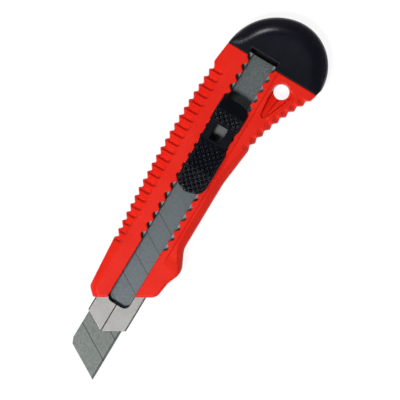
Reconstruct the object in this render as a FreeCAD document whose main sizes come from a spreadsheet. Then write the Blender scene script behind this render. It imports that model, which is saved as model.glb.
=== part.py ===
import FreeCAD, Part
import math
import os

import Sketcher
from FreeCAD import Placement, Rotation, Vector

# Snap-off utility knife, millimetres. The knife lies on its back: +X runs to the blade tip, +Y to the
# cutting edge side, +Z out of the face that carries the thumb slide. The origin is the middle of the
# bounding box's underside, so the cap's end and the blade tip are the same distance from it.

SHEET = "Sizes"

# One number for each driving dimension.
SIZES = {
    # whole knife
    "overall_length": 192.8,
    "handle_thick": 11.0,
    "slide_y": -5.0,
    # how far a cut runs past what it cuts
    "past": 1.0,
    # snap-off blade
    "blade_wide": 18.0,
    "blade_long": 107.8,
    "blade_thick": 0.5,
    "blade_shift_y": -0.5,
    "blade_z": 4.15,
    "cut_angle": 60.0,
    "segment_long": 10.8,
    "score_first": 27.45,
    "score_wide": 0.35,
    "score_deep": 0.12,
    "score_count": 7,
    "ground_wide": 1.1,
    "tip_bevel_long": 2.9,
    "tip_bevel_wide": 1.2,
    "ground_share": 0.75,
    "peg_from_end": 4.5,
    "peg_hole_radius": 2.0,
    # folded steel channel
    "channel_wide": 20.4,
    "channel_tall": 4.0,
    "channel_z": 3.6,
    "channel_sheet": 0.5,
    "channel_slot_wide": 10.8,
    "channel_slot_end": 60.3,
    "channel_slot_corner": 2.8,
    "channel_tip": 74.9,
    "channel_tail": -72.5,
    "channel_seam": 0.4,
    "channel_gap": 0.05,
    # toothed slot in the handle
    "slot_wide": 10.8,
    "notch_pitch": 5.35,
    "notch_first": 25.9,
    "notch_count": 19,
    "notch_deep": 1.7,
    "notch_mouth": 4.1,
    "notch_floor": 1.3,
    "tooth_z": 9.3,
    "relief_wide": 14.8,
    "relief_front": 28.7,
    # spine grip
    "spine_slope": 18.0,
    "spine_slope_y": -17.5,
    "slope_reach": 10.0,
    "pocket_pitch": 4.32,
    "pocket_first": 33.4,
    "pocket_count": 22,
    "pocket_wide": 2.6,
    "pocket_deep": 0.9,
    "pocket_y": -19.2,
    "tooth_pitch": 4.28,
    "tooth_first": 34.0,
    "tooth_deep": 1.6,
    "tooth_lead": 0.32,
    "tooth_crest": 0.05,
    "front_teeth": 15,
    "rear_teeth": 7,
    # rear grip under the handle
    "flare_teeth": 8,
    "flare_tooth_first": -32.5,
    "flare_tooth_pitch": 4.71,
    "flare_tooth_deep": 0.9,
    "flare_tooth_lead": 0.5,
    # edge side step and hang hole
    "step_y": 4.1,
    "step_front": 33.0,
    "step_deep": 0.4,
    "hang_x": -63.8,
    "hang_y": 9.95,
    "hang_radius": 3.7,
    "dish_deep": 2.6,
    "dish_shift_y": 0.3,
    "dish_radius": 4.5,
    "dish_point_x": -50.4,
    "dish_point_y": 8.4,
    "dish_point_radius": 1.4,
    "edge_chamfer": 2.2,
    "back_chamfer": 1.2,
    # spigot that the cap grips
    "spigot_rear": -79.5,
    "spigot_wall": 1.8,
    "spigot_spine_front": -20.4,
    "spigot_spine_rear": -16.8,
    "spigot_edge_front": 22.6,
    "spigot_edge_rear": 21.6,
    "spigot_gap": 0.15,
    "spigot_notch_gap": 0.2,
    # end cap
    "cap_rear_radius": 22.3,
    "cap_spine_radius": 27.5,
    "cap_round": 2.4,
    "cap_notch_wide": 14.0,
    "cap_notch_long": 3.65,
    "cap_notch_y": -5.3,
    # blade carrier
    "carrier_front": -4.2,
    "carrier_long": 43.3,
    "carrier_wide": 19.0,
    "carrier_sheet": 0.8,
    "carrier_z": 4.75,
    "carrier_tall": 2.2,
    "post_x": -11.7,
    "post_long": 3.0,
    "post_wide": 5.0,
    "post_top": 11.0,
    "foot_front": -28.0,
    "foot_rear": -34.0,
    "foot_reach": 1.3,
    "foot_tall": 0.9,
    "foot_gap": 0.5,
    # peg and rivet
    "peg_radius": 1.75,
    "peg_head_radius": 2.1,
    "peg_head_tall": 0.5,
    "rivet_x": -42.0,
    "rivet_radius": 1.2,
    "rivet_head_radius": 2.2,
    "rivet_head_tall": 0.6,
    "hole_gap": 0.05,
    # lock spring
    "spring_thick": 0.4,
    "spring_wide": 6.2,
    "leaf_rear": 2.5,
    "leaf_level": 11.6,
    "leaf_rise": 5.5,
    "leaf_end": 2.0,
    "ear_above_tooth": 0.55,
    "ear_x": -16.9,
    "ear_reach": 6.7,
    "ear_root": 3.2,
    "ear_tip": 1.0,
    # thumb slide
    "deck_z": 12.4,
    "deck_top": 13.2,
    "window_deep": 1.5,
    "stem_wide": 10.2,
    "stem_front": -4.0,
    "stem_rear": -46.0,
    "stem_z": 6.9,
    "stem_wall": 0.7,
    "hollow_half": 3.5,
    "boss_rear": -22.9,
    "boss_front": -20.4,
    "boss_z": 10.15,
    "boss_half": 3.7,
    "port_half_long": 2.2,
    "port_half_tall": 1.2,
    "pad_front": -1.0,
    "pad_rear": -26.2,
    "pad_shift_y": 0.75,
    "pad_half": 7.3,
    "pad_top": 15.8,
    "pad_crease": -13.0,
    "pad_low": 13.8,
    "pad_nose_top": 14.4,
    "pad_corner_long": 4.6,
    "pad_nose_long": 1.8,
    "pad_nose_half": 5.3,
    "pad_tip_half": 1.2,
    "pad_back_long": 2.4,
    "pad_back_wide": 1.4,
    "waist_half": 6.9,
    "rear_pad_front": -36.0,
    "rear_pad_rear": -49.2,
    "rear_pad_half": 7.55,
    "rear_pad_top": 14.8,
    "rear_pad_crease": -42.7,
    "rear_pad_low": 13.2,
    "rear_pad_corner_long": 2.6,
    "rear_pad_corner_wide": 2.3,
    "window_front": -27.1,
    "window_rear": -35.6,
    "window_half": 3.1,
}

# Corners of the outlines, each a place in the plan.
PLACES = {
    "spine_rear": (-70.7, -23.2),
    "crown": (-30.4, -25.5),
    "grip_front": (34.7, -22.0),
    "spine_front": (58.9, -20.2),
    "nose_shoulder": (60.3, -19.2),
    "nose_tip": (63.0, -16.2),
    "cut_end": (49.4, 7.2),
    "chin_front": (46.0, 9.6),
    "chin_rear": (40.0, 10.4),
    "bump_front": (36.8, 11.6),
    "bump_rear": (28.6, 11.7),
    "bump_foot": (24.6, 9.75),
    "waist_front": (20.5, 8.65),
    "waist_rear": (-13.0, 8.65),
    "flare_end": (-67.1, 23.7),
    "edge_rear": (-70.7, 24.9),
    "cap_edge": (-73.8, 25.5),
    "cap_end": (-96.3, 1.1),
}

# Radii of the curved stretches of those outlines.
RADII = {
    "crown_rear_radius": 350.0,
    "crown_front_radius": 600.0,
    "chin_radius": 5.0,
    "bump_radius": 8.0,
    "foot_radius": 9.4,
    "flare_radius": 105.0,
}

doc = FreeCAD.newDocument("UtilityKnife")
sheet = doc.addObject("Spreadsheet::Sheet", SHEET)
made = {}


class Term:
    """A number with the sheet expression that gives it, so that a size is worked out once for both."""

    def __init__(self, value, text):
        self.value = value
        self.text = text

    def joined(self, other, sign, value):
        text = other.text if isinstance(other, Term) else repr(float(other))
        return Term(value, "(%s %s %s)" % (self.text, sign, text))

    def __add__(self, other):
        return self.joined(other, "+", self.value + plain(other))

    def __sub__(self, other):
        return self.joined(other, "-", self.value - plain(other))

    def __mul__(self, other):
        return self.joined(other, "*", self.value * plain(other))

    def __truediv__(self, other):
        return self.joined(other, "/", self.value / plain(other))

    def __neg__(self):
        return Term(-self.value, "(-%s)" % self.text)


def plain(thing):
    return thing.value if isinstance(thing, Term) else thing


def at(alias):
    """The sheet's cell of this name."""
    return Term(float(getattr(sheet, alias)), SHEET + "." + alias)


def number(value):
    return Term(float(value), repr(float(value)))


def fill_sheet():
    """Puts every driving dimension in a cell with its name as alias."""
    values = dict(SIZES)
    values.update(RADII)
    for name, (x, y) in PLACES.items():
        values[name + "_x"] = x
        values[name + "_y"] = y
    for row, (alias, value) in enumerate(values.items(), start=1):
        sheet.set("A%d" % row, alias)
        sheet.set("B%d" % row, str(value))
        sheet.setAlias("B%d" % row, alias)
    doc.recompute()


def new_body(name):
    body = doc.addObject("PartDesign::Body", name)
    body.Label = name
    made[name] = body
    return body


def origin_of(body, role):
    return next(f for f in body.Origin.OriginFeatures if f.Role == role)


def new_sketch(body, role, name, height=None):
    """A sketch on one of the body's own planes, raised along the plane's normal."""
    sketch = body.newObject("Sketcher::SketchObject", name)
    sketch.AttachmentSupport = [(origin_of(body, role), "")]
    sketch.MapMode = "FlatFace"
    if height is not None:
        sketch.setExpression(".AttachmentOffset.Base.z", height.text)
    return sketch


def rule(sketch, kind, ends, term):
    """A distance or radius tied to the sheet. Ends swap where the distance is negative."""
    value, text = term.value, term.text
    if value < 0:
        value, text = -value, "-" + text
        ends = ends[2:] + ends[:2]
    index = sketch.addConstraint(Sketcher.Constraint(kind, *ends, value))
    sketch.setExpression("Constraints[%d]" % index, text)


def hold(sketch, index, end, x=None, y=None):
    """Holds one point at its distances from the origin."""
    for kind, term in (("DistanceX", x), ("DistanceY", y)):
        if term is not None:
            rule(sketch, kind, (-1, 1, index, end), term)


def arc_between(start, end, radius, turn):
    """The short arc from start to end. turn is 1 when it bends to the left and -1 to the right."""
    chord = end - start
    left = Vector(-chord.y, chord.x, 0).normalize()
    rise = math.sqrt(radius**2 - (chord.Length / 2) ** 2)
    centre = (start + end) * 0.5 + left * rise * turn
    angles = [math.atan2(p.y - centre.y, p.x - centre.x) for p in (start, end)]
    if turn < 0:
        angles.reverse()
    return Part.ArcOfCircle(Part.Circle(centre, Vector(0, 0, 1), radius), *angles)


def draw_outline(sketch, corners):
    """A closed outline. Each corner is its x, its y and the radius of the edge that leaves it, or None
    where that edge is straight. A negative radius bends to the right."""
    points = [Vector(x.value, y.value, 0) for x, y, _ in corners]
    ends = []
    for place, (_, _, radius) in enumerate(corners):
        start = points[place]
        end = points[(place + 1) % len(points)]
        if radius is None:
            index = sketch.addGeometry(Part.LineSegment(start, end), False)
            ends.append((index, 1, 2))
            continue
        turn = 1 if radius.value > 0 else -1
        arc = arc_between(start, end, abs(radius.value), turn)
        index = sketch.addGeometry(arc, False)
        ends.append((index, 1, 2) if turn > 0 else (index, 2, 1))
        rule(sketch, "Radius", (index,), radius if turn > 0 else -radius)
    for place, (index, _, last) in enumerate(ends):
        follower, first, _ = ends[(place + 1) % len(ends)]
        sketch.addConstraint(Sketcher.Constraint("Coincident", index, last, follower, first))
    for (index, first, _), (x, y, _) in zip(ends, corners):
        hold(sketch, index, first, x, y)


def draw_corners(sketch, corners):
    """A closed run of straight lines through held corners."""
    draw_outline(sketch, [(x, y, None) for x, y in corners])


def draw_box(sketch, low_x, high_x, low_y, high_y):
    draw_corners(sketch, [(low_x, low_y), (high_x, low_y), (high_x, high_y), (low_x, high_y)])


def draw_free(sketch, points):
    """A closed run of straight lines through worked-out points."""
    corners = [Vector(x, y, 0) for x, y in points]
    first = sketch.GeometryCount
    for start, end in zip(corners, corners[1:] + corners[:1]):
        sketch.addGeometry(Part.LineSegment(start, end), False)
    for place in range(len(corners)):
        follower = first + (place + 1) % len(corners)
        sketch.addConstraint(Sketcher.Constraint("Coincident", first + place, 2, follower, 1))


def draw_circle(sketch, x, y, radius):
    circle = Part.Circle(Vector(x.value, y.value, 0), Vector(0, 0, 1), radius.value)
    index = sketch.addGeometry(circle, False)
    hold(sketch, index, 3, x, y)
    rule(sketch, "Radius", (index,), radius)


def pad(body, sketch, name, length, middle=False):
    feature = body.newObject("PartDesign::Pad", name)
    feature.Profile = sketch
    feature.SideType = "Symmetric" if middle else "One side"
    feature.setExpression("Length", length.text)
    doc.recompute()
    return feature


def cut(body, sketch, name, length=None, reverse=False, middle=False):
    """A pocket, through everything where no length is given. It has to take material away."""
    before = body.Shape.Volume
    feature = body.newObject("PartDesign::Pocket", name)
    feature.Profile = sketch
    feature.Reversed = reverse
    feature.SideType = "Symmetric" if middle else "One side"
    if length is None:
        feature.Type = "ThroughAll"
    else:
        feature.setExpression("Length", length.text)
    doc.recompute()
    if body.Shape.Volume > before - 1e-6:
        raise RuntimeError(name + " cuts nothing")
    return feature


def repeat(body, originals, name, pitch, count, backwards=True):
    """Repeats features along X, towards the rear unless told otherwise."""
    pattern = body.newObject("PartDesign::LinearPattern", name)
    pattern.Originals = originals
    pattern.Direction = (origin_of(body, "X_Axis"), [""])
    pattern.Reversed = backwards
    pattern.setExpression("Length", "%s * (%s - 1)" % (pitch.text, count.text))
    pattern.setExpression("Occurrences", count.text)
    body.Tip = pattern
    doc.recompute()
    return pattern


def chamfer(body, name, width, wanted):
    """Breaks the edges of the body for which wanted(edge) is true."""
    base = body.Tip
    names = ["Edge%d" % n for n, e in enumerate(base.Shape.Edges, start=1) if wanted(e)]
    feature = body.newObject("PartDesign::Chamfer", name)
    feature.Base = (base, names)
    feature.setExpression("Size", width.text)
    doc.recompute()
    return feature


def fillet(body, name, radius, wanted):
    """Rounds the edges of the body for which wanted(edge) is true."""
    base = body.Tip
    names = ["Edge%d" % n for n, e in enumerate(base.Shape.Edges, start=1) if wanted(e)]
    feature = body.newObject("PartDesign::Fillet", name)
    feature.Base = (base, names)
    feature.setExpression("Radius", radius.text)
    doc.recompute()
    return feature


def flat_at(edge, height):
    """True for an edge that lies in the horizontal plane at this height."""
    box = edge.BoundBox
    return abs(box.ZMin - height) < 1e-4 and abs(box.ZMax - height) < 1e-4


def place_of(name):
    return at(name + "_x"), at(name + "_y")


def arc_centre(name_a, name_b, radius, turn):
    """Centre of the outline's arc from one named place to the other."""
    ends = [Vector(*[t.value for t in place_of(n)], 0) for n in (name_a, name_b)]
    return arc_between(ends[0], ends[1], radius, turn).Center


def saw_points(centre, radius, first_x, pitch, count, depth, lead):
    """Crests and valleys of moulded grip teeth along an arc, from front to rear. Each tooth falls to its
    valley within the share lead of its pitch. A minus depth puts the valleys outside the arc."""
    crest = math.copysign(at("tooth_crest").value, depth)
    start = math.asin((first_x - centre.x) / radius)
    points = []
    for tooth in range(count):
        for share, inward in ((0.0, crest), (lead, depth)):
            turn = start - (tooth + share) * pitch / radius
            reach = radius - inward
            points.append((centre.x + reach * math.sin(turn), centre.y - reach * math.cos(turn)))
    return points


def pad_handle_blank(body):
    """The handle's outline and the spigot behind it."""
    bends = {
        "spine_rear": at("crown_rear_radius"),
        "crown": at("crown_front_radius"),
        "cut_end": at("chin_radius"),
        "bump_front": at("bump_radius"),
        "bump_foot": -at("foot_radius"),
        "waist_rear": -at("flare_radius"),
    }
    names = [name for name in PLACES if not name.startswith("cap_")]
    outline = new_sketch(body, "XY_Plane", "HandleOutline")
    draw_outline(outline, [place_of(n) + (bends.get(n),) for n in names])
    pad(body, outline, "HandlePad", at("handle_thick"))

    top = at("handle_thick").value
    side = (at("waist_rear_y") - at("past")).value
    front = (at("chin_front_x") + at("past")).value
    rear = (at("spine_rear_x") + at("past")).value

    def grip_edge(edge):
        box = edge.BoundBox
        return flat_at(edge, top) and box.YMin > side and box.XMax < front

    def back_edge(edge):
        return flat_at(edge, 0.0) and edge.BoundBox.XMax > rear

    chamfer(body, "EdgeBevel", at("edge_chamfer"), grip_edge)
    chamfer(body, "BackBevel", at("back_chamfer"), back_edge)

    spigot = new_sketch(body, "XY_Plane", "SpigotOutline", at("spigot_wall"))
    draw_corners(spigot, spigot_corners(number(0.0)))
    pad(body, spigot, "SpigotPad", at("handle_thick") - at("spigot_wall") * 2)


def spigot_corners(gap):
    """Plan of the spigot, or of the cap's cavity when grown by the gap between them."""
    rear = at("spigot_rear") - gap
    front = at("spine_rear_x") + at("past")
    return [
        (rear, at("spigot_spine_rear") - gap),
        (front, at("spigot_spine_front") - gap),
        (front, at("spigot_edge_front") + gap),
        (rear, at("spigot_edge_rear") + gap),
    ]


def cut_spine_grip(body):
    """Sloping spine face, its row of round-ended pockets and the teeth along its edge."""
    top = at("handle_thick").value
    slope = at("spine_slope").value
    slope_y = at("spine_slope_y").value
    past = at("past").value
    reach = at("slope_reach").value
    drop = reach * math.tan(math.radians(slope))
    face = new_sketch(body, "YZ_Plane", "SpineSlope")
    draw_free(face, [
        (slope_y, top),
        (slope_y - reach, top - drop),
        (slope_y - reach, top + past),
        (slope_y, top + past),
    ])
    cut(body, face, "SpineSlopeCut", at("overall_length"), middle=True)

    tilt = Rotation(Vector(1, 0, 0), slope)
    wide = at("pocket_wide").value
    deep = at("pocket_deep").value
    pocket_y = at("pocket_y").value
    rise = (slope_y - pocket_y) * math.tan(math.radians(slope))
    centre = Vector(at("pocket_first").value, pocket_y, top - rise)
    groove = body.newObject("PartDesign::SubtractiveBox", "GripGroove")
    groove.setExpression("Length", at("pocket_wide").text)
    groove.Width = reach
    groove.Height = deep + past * 2
    corner = centre + tilt.multVec(Vector(-wide / 2, -reach, -deep))
    end = body.newObject("PartDesign::SubtractiveCylinder", "GripGrooveEnd")
    end.setExpression("Radius", (at("pocket_wide") / 2).text)
    end.Height = deep + past * 2
    base = centre + tilt.multVec(Vector(0, 0, -deep))
    for feature, where in ((groove, corner), (end, base)):
        feature.AttachmentSupport = [(origin_of(body, "XY_Plane"), "")]
        feature.MapMode = "FlatFace"
        feature.AttachmentOffset = Placement(where, tilt)
    doc.recompute()
    repeat(body, [groove, end], "GripGrooves", at("pocket_pitch"), at("pocket_count"))

    front_count = int(at("front_teeth").value)
    rear_count = int(at("rear_teeth").value)
    first_x = at("tooth_first").value
    pitch = at("tooth_pitch").value
    depth = at("tooth_deep").value
    lead = at("tooth_lead").value
    front = at("crown_front_radius").value
    rear = at("crown_rear_radius").value
    front_centre = arc_centre("crown", "grip_front", front, 1)
    rear_centre = arc_centre("spine_rear", "crown", rear, 1)
    points = saw_points(front_centre, front, first_x, pitch, front_count, depth, lead)
    first_x -= front_count * pitch
    points += saw_points(rear_centre, rear, first_x, pitch, rear_count + 1, depth, lead)[:-1]
    beyond = at("crown_y").value - past * 3
    teeth = new_sketch(body, "XY_Plane", "SpineTeeth")
    draw_free(teeth, points + [(points[-1][0], beyond), (points[0][0], beyond)])
    cut(body, teeth, "SpineTeethCut", at("handle_thick") * 3, middle=True)


def cut_rear_grip(body):
    """Teeth along the flared edge in front of the cap."""
    radius = at("flare_radius").value
    centre = arc_centre("waist_rear", "flare_end", radius, -1)
    count = int(at("flare_teeth").value)
    first_x = at("flare_tooth_first").value
    pitch = at("flare_tooth_pitch").value
    depth = -at("flare_tooth_deep").value
    lead = at("flare_tooth_lead").value
    points = saw_points(centre, radius, first_x, pitch, count + 1, depth, lead)[:-1]
    outside = at("past").value * 4
    front, rear = points[0], points[-1]
    teeth = new_sketch(body, "XY_Plane", "FlareTeeth")
    draw_free(teeth, points + [(rear[0], rear[1] + outside), (front[0], front[1] + outside)])
    cut(body, teeth, "FlareTeethCut", at("handle_thick") * 3, middle=True)


def cut_slot(body):
    """Channel cavity from end to end, the slot above it and the notches that the lock clicks into."""
    middle = at("slide_y")
    gap = at("channel_gap")
    half = at("channel_wide") / 2 + gap
    cavity = new_sketch(body, "YZ_Plane", "ChannelCavity")
    roof = at("channel_z") + at("channel_tall") + gap
    draw_box(cavity, middle - half, middle + half, at("channel_z") - gap, roof)
    cut(body, cavity, "ChannelCavityCut", at("overall_length") * 2, middle=True)

    top = at("handle_thick")
    half = at("slot_wide") / 2
    rear = at("spigot_rear") - at("past")
    slot = new_sketch(body, "XY_Plane", "SlotOutline", top)
    draw_box(slot, rear, at("nose_tip_x") + at("past"), middle - half, middle + half)
    cut(body, slot, "SlotCut", top - at("channel_z") - at("channel_tall"))

    relief_half = at("relief_wide") / 2
    relief = new_sketch(body, "XY_Plane", "SlotRelief", at("tooth_z"))
    draw_box(relief, rear, at("relief_front"), middle - relief_half, middle + relief_half)
    cut(body, relief, "SlotReliefCut", at("tooth_z") - at("channel_z") - at("channel_tall"))

    mouth = at("notch_mouth") / 2
    floor = at("notch_floor") / 2
    first = at("notch_first")
    deepest = half + at("notch_deep")
    notch = new_sketch(body, "XY_Plane", "NotchPair", top)
    draw_corners(notch, [
        (first - floor, middle - deepest),
        (first + floor, middle - deepest),
        (first + mouth, middle - half),
        (first + mouth, middle + half),
        (first + floor, middle + deepest),
        (first - floor, middle + deepest),
        (first - mouth, middle + half),
        (first - mouth, middle - half),
    ])
    pair = cut(body, notch, "NotchPairCut", top - at("tooth_z"))
    repeat(body, [pair], "Notches", at("notch_pitch"), at("notch_count"))

    fork_half = at("cap_notch_wide") / 2
    fork = new_sketch(body, "XY_Plane", "SpigotFork", top)
    draw_box(fork, rear, at("channel_tail") - at("spigot_notch_gap"), at("cap_notch_y") - fork_half,
             at("cap_notch_y") + fork_half)
    cut(body, fork, "SpigotForkCut")


def cut_hang_hole(body):
    """Step along the edge side, the dish round the hang hole and the hole itself."""
    top = at("handle_thick")
    step = new_sketch(body, "XY_Plane", "EdgeStep", top)
    draw_box(step, at("spine_rear_x") - at("past"), at("step_front"), at("step_y"),
             at("edge_rear_y") + at("past"))
    cut(body, step, "EdgeStepCut", at("step_deep"))

    deep = at("step_deep") + at("dish_deep")
    dish_y = at("hang_y") + at("dish_shift_y")
    wide_end = Vector(at("hang_x").value, dish_y.value, 0)
    narrow_end = Vector(at("dish_point_x").value, at("dish_point_y").value, 0)
    wide = at("dish_radius").value
    narrow = at("dish_point_radius").value
    along = narrow_end - wide_end
    lean = math.acos((wide - narrow) / along.Length)
    heading = math.atan2(along.y, along.x)
    corners = []
    ends = (
        (wide_end, wide, 1),
        (narrow_end, narrow, 1),
        (narrow_end, narrow, -1),
        (wide_end, wide, -1),
    )
    for centre, radius, side in ends:
        turn = heading + side * lean
        corners.append((centre.x + radius * math.cos(turn), centre.y + radius * math.sin(turn)))
    taper = new_sketch(body, "XY_Plane", "DishTaper", top)
    draw_free(taper, corners)
    cut(body, taper, "DishTaperCut", deep)
    round_end = new_sketch(body, "XY_Plane", "DishRound", top)
    draw_circle(round_end, at("hang_x"), dish_y, at("dish_radius"))
    cut(body, round_end, "DishRoundCut", deep)
    point = new_sketch(body, "XY_Plane", "DishPoint", top)
    draw_circle(point, at("dish_point_x"), at("dish_point_y"), at("dish_point_radius"))
    cut(body, point, "DishPointCut", deep)

    hole = new_sketch(body, "XY_Plane", "HangHole", top)
    draw_circle(hole, at("hang_x"), at("hang_y"), at("hang_radius"))
    cut(body, hole, "HangHoleCut")


def make_handle():
    """Moulded handle with its toothed slot, channel cavity, grips, hang hole and cap spigot."""
    body = new_body("handle_body")
    pad_handle_blank(body)
    cut_spine_grip(body)
    cut_rear_grip(body)
    cut_slot(body)
    cut_hang_hole(body)


def make_end_cap():
    """Rounded cap that pulls off the spigot; its notch lets the slide's stem run back."""
    body = new_body("end_cap")
    outline = new_sketch(body, "XY_Plane", "CapOutline")
    draw_outline(outline, [
        place_of("spine_rear") + (None,),
        place_of("edge_rear") + (None,),
        place_of("cap_edge") + (at("cap_rear_radius"),),
        place_of("cap_end") + (at("cap_spine_radius"),),
    ])
    pad(body, outline, "CapPad", at("handle_thick"))
    top = at("handle_thick").value
    front = (at("spine_rear_x") - at("past")).value

    def outer_edge(edge):
        return (flat_at(edge, 0.0) or flat_at(edge, top)) and edge.BoundBox.XMin < front

    fillet(body, "CapRound", at("cap_round"), outer_edge)

    gap = at("spigot_gap")
    cavity = new_sketch(body, "XY_Plane", "CapCavity", at("spigot_wall") - gap)
    draw_corners(cavity, spigot_corners(gap))
    depth = at("handle_thick") - at("spigot_wall") * 2 + gap * 2
    cut(body, cavity, "CapCavityCut", depth, reverse=True)

    half = at("cap_notch_wide") / 2
    notch = new_sketch(body, "XY_Plane", "CapNotch", at("handle_thick"))
    draw_box(notch, at("spine_rear_x") - at("cap_notch_long"), at("spine_rear_x") + at("past"),
             at("cap_notch_y") - half, at("cap_notch_y") + half)
    cut(body, notch, "CapNotchCut", at("spigot_wall") + gap)


def make_channel():
    """Folded sheet steel channel: floor, sides, lips along the slot and a closed pointed nose."""
    body = new_body("blade_channel")
    middle = at("slide_y")
    half = at("channel_wide") / 2
    low = at("channel_z")
    high = low + at("channel_tall")
    sheet_thick = at("channel_sheet")
    tail = at("channel_tail")
    tip = at("channel_tip")
    outer = new_sketch(body, "YZ_Plane", "ChannelOuter", tail)
    draw_box(outer, middle - half, middle + half, low, high)
    pad(body, outer, "ChannelPad", tip - tail)
    inner = new_sketch(body, "YZ_Plane", "ChannelInner")
    draw_box(inner, middle - half + sheet_thick, middle + half - sheet_thick, low + sheet_thick,
             high - sheet_thick)
    cut(body, inner, "ChannelInnerCut", at("overall_length") * 2, middle=True)

    slot_half = at("channel_slot_wide") / 2
    end = at("channel_slot_end")
    corner = at("channel_slot_corner")
    past = at("past")
    slot = new_sketch(body, "XY_Plane", "ChannelSlot", high)
    draw_outline(slot, [
        (tail - past, middle - slot_half, None),
        (end - corner, middle - slot_half, corner),
        (end, middle - slot_half + corner, None),
        (end, middle + slot_half - corner, corner),
        (end - corner, middle + slot_half, None),
        (tail - past, middle + slot_half, None),
    ])
    cut(body, slot, "ChannelSlotCut", sheet_thick * 2)
    seam_half = at("channel_seam") / 2
    seam = new_sketch(body, "XY_Plane", "ChannelSeam", high)
    draw_box(seam, end - past, tip + past, middle - seam_half, middle + seam_half)
    cut(body, seam, "ChannelSeamCut", sheet_thick * 2)

    reach = (at("channel_wide") / 2 + past).value
    back = reach * math.tan(math.radians(90.0 - at("cut_angle").value))
    beyond = (tip + past).value
    centre = middle.value
    nose = new_sketch(body, "XY_Plane", "ChannelNose", high)
    draw_free(nose, [
        (tip.value, centre),
        (tip.value - back, centre + reach),
        (beyond, centre + reach),
        (beyond, centre - reach),
        (tip.value - back, centre - reach),
    ])
    cut(body, nose, "ChannelNoseCut", at("channel_tall") * 2)


def make_blade():
    """Snap-off blade: one strip with a slanted end, scored segments, a ground edge and a peg hole."""
    body = new_body("snap_off_blade")
    middle = at("slide_y") + at("blade_shift_y")
    half = at("blade_wide") / 2
    tip = at("overall_length") / 2
    tail = tip - at("blade_long")
    low = at("blade_z")
    slant = math.tan(math.radians(90.0 - at("cut_angle").value))
    past = at("past")
    corner_long = at("tip_bevel_long")
    corner_wide = at("tip_bevel_wide")
    spine_front = tip - at("blade_wide") * slant + corner_wide * slant
    outline = new_sketch(body, "XY_Plane", "BladeOutline", low)
    draw_corners(outline, [
        (tail, middle - half),
        (spine_front - corner_long, middle - half),
        (spine_front, middle - half + corner_wide),
        (tip, middle + half),
        (tail, middle + half),
    ])
    pad(body, outline, "BladePad", at("blade_thick"))

    top = low + at("blade_thick")
    bevel_side = new_sketch(body, "YZ_Plane", "GroundEdge")
    edge = middle + half
    draw_corners(bevel_side, [
        (edge - at("ground_wide"), top),
        (edge, top - at("blade_thick") * at("ground_share")),
        (edge + past, top - at("blade_thick") * at("ground_share")),
        (edge + past, top + past),
        (edge - at("ground_wide"), top + past),
    ])
    cut(body, bevel_side, "GroundEdgeCut", at("overall_length") * 2, middle=True)

    reach = (at("blade_wide") / 2 + past).value
    centre = middle.value
    where = tail.value + at("score_first").value
    lean = reach * slant
    wide = at("score_wide").value
    score = new_sketch(body, "XY_Plane", "ScoreLine", top)
    draw_free(score, [
        (where - lean, centre - reach),
        (where - lean + wide, centre - reach),
        (where + lean + wide, centre + reach),
        (where + lean, centre + reach),
    ])
    line = cut(body, score, "ScoreLineCut", at("score_deep"))
    repeat(body, [line], "ScoreLines", at("segment_long"), at("score_count"), backwards=False)

    hole = new_sketch(body, "XY_Plane", "PegHole", top)
    draw_circle(hole, tail + at("peg_from_end"), middle, at("peg_hole_radius"))
    cut(body, hole, "PegHoleCut", at("blade_thick") * 2)


def peg_place():
    tail = at("overall_length") / 2 - at("blade_long")
    return tail + at("peg_from_end"), at("slide_y") + at("blade_shift_y")


def make_carrier():
    """Stamped blade carrier: a tray that runs in the channel, with a post that guides the slide."""
    body = new_body("blade_carrier")
    middle = at("slide_y")
    half = at("carrier_wide") / 2
    low = at("carrier_z")
    thick = at("carrier_sheet")
    front = at("carrier_front")
    rear = front - at("carrier_long")
    base = new_sketch(body, "XY_Plane", "CarrierBase", low)
    draw_box(base, rear, front, middle - half, middle + half)
    pad(body, base, "CarrierPad", at("carrier_tall"))
    inside = new_sketch(body, "YZ_Plane", "CarrierInside")
    draw_box(inside, middle - half + thick, middle + half - thick, low + thick,
             low + at("carrier_tall") + at("past"))
    cut(body, inside, "CarrierInsideCut", at("overall_length") * 2, middle=True)

    post = new_sketch(body, "XY_Plane", "GuidePost", low)
    long_half = at("post_long") / 2
    wide_half = at("post_wide") / 2
    draw_box(post, at("post_x") - long_half, at("post_x") + long_half, middle - wide_half,
             middle + wide_half)
    pad(body, post, "GuidePostPad", at("post_top") - low)

    gap = at("hole_gap")
    peg_x, peg_y = peg_place()
    for name, x, y, radius in (("PegSeat", peg_x, peg_y, at("peg_radius") + gap),
                               ("RivetSeat", at("rivet_x"), middle, at("rivet_radius") + gap)):
        seat = new_sketch(body, "XY_Plane", name, low)
        draw_circle(seat, x, y, radius)
        cut(body, seat, name + "Cut", thick, reverse=True)
    rear = at("foot_rear") - at("foot_gap")
    front = at("foot_front") + at("foot_gap")
    near = at("spring_wide") / 2 + at("foot_gap") / 2
    far = at("stem_wide") / 2 + at("foot_reach") + at("foot_gap")
    for name, low_y, high_y in (("SpineWindow", middle - far, middle - near),
                                ("EdgeWindow", middle + near, middle + far)):
        window = new_sketch(body, "XY_Plane", name, low)
        draw_box(window, rear, front, low_y, high_y)
        cut(body, window, name + "Cut", thick, reverse=True)


def make_round_part(name, x, y, low, shank_radius, shank_tall, head_radius, head_tall):
    """A headed peg or rivet that stands upright."""
    body = new_body(name)
    shank = new_sketch(body, "XY_Plane", name + "Shank", low)
    draw_circle(shank, x, y, shank_radius)
    pad(body, shank, name + "ShankPad", shank_tall)
    head = new_sketch(body, "XY_Plane", name + "Head", low + shank_tall)
    draw_circle(head, x, y, head_radius)
    pad(body, head, name + "HeadPad", head_tall)


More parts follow.
